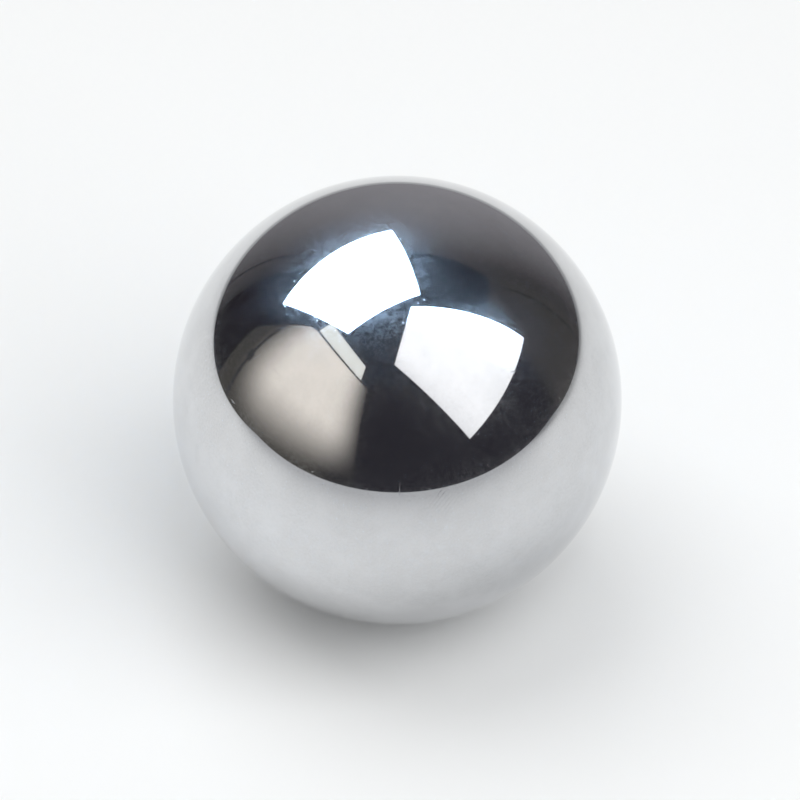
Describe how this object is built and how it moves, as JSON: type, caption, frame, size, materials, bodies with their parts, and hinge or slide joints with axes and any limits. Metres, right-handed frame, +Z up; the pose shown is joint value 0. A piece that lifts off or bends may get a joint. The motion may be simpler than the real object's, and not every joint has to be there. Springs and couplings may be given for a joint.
{
  "type": "steel ball",
  "caption": "Solid polished steel ball, a true sphere that rolls freely or sits in a cup, ring or hole smaller than itself.",
  "frame": {"origin": "centre of the ball", "axes": "+Z up; every axis through the centre is an axis of symmetry"},
  "size_m": [0.05, 0.05, 0.05],
  "materials": {
    "polished_steel": "lapped and polished to a mirror, with a faint haze and a few hair-fine handling scratches"
  },
  "bodies": {
    "root": {"ball": "polished_steel"}
  },
  "joints": []
}
